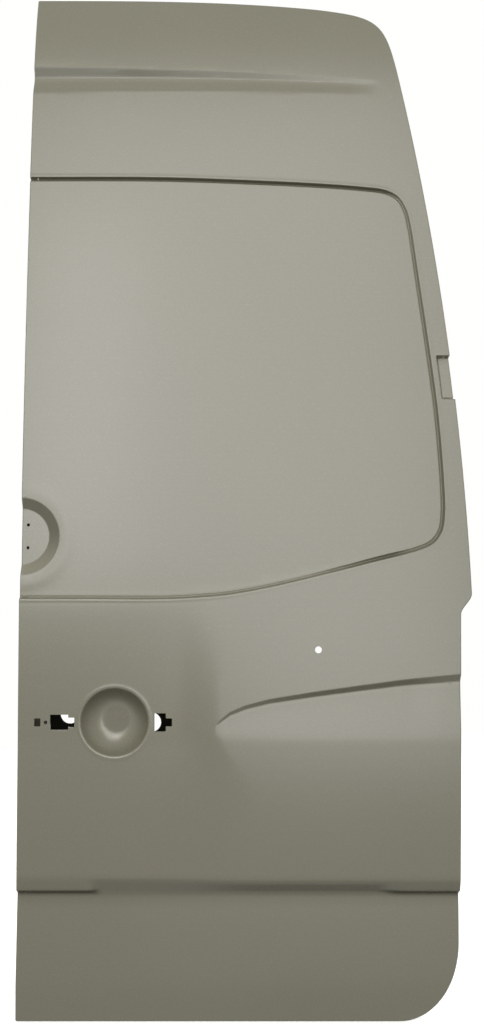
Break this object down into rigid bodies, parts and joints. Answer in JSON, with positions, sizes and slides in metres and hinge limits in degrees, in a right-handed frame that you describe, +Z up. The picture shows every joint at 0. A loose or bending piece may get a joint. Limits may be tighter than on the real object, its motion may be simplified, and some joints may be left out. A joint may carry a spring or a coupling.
{
  "type": "van rear barn door shell",
  "caption": "Bare primed steel rear barn door of a high-roof van: outer skin with blank window field and finger dish, hemmed over an inner panel with hinge seats and lock cut-outs.",
  "frame": {"origin": "middle of the upper hinge seat, on its flat face", "axes": "+Z up, +X from the centre edge to the hinge edge, +Y from the outer face inwards, towards the inside of the van"},
  "size_m": [0.806, 0.2659, 1.887],
  "materials": {
    "primer": "satin grey-green primer on pressed sheet steel",
    "mastic": "matt black anti-flutter mastic",
    "zinc": "zinc-plated weld nuts"
  },
  "bodies": {
    "root": {"outer_skin": "primer", "inner_panel": "primer", "window_mastic": "mastic", "upper_brace": "primer", "middle_brace": "primer", "lower_brace": "primer", "upper_brace_mastic": "mastic", "middle_brace_mastic": "mastic", "lower_brace_mastic": "mastic", "waist_beam": "primer", "handle_plate": "primer", "upper_hinge_plate": "primer", "lower_hinge_plate": "primer", "upper_hinge_nuts": "zinc", "lower_hinge_nuts": "zinc", "lock_plate": "primer", "lock_nuts": "zinc", "top_latch_plate": "primer", "top_latch_nuts": "zinc", "bottom_latch_plate": "primer", "bottom_latch_nuts": "zinc", "check_plate": "primer", "check_nuts": "zinc"}
  },
  "joints": []
}
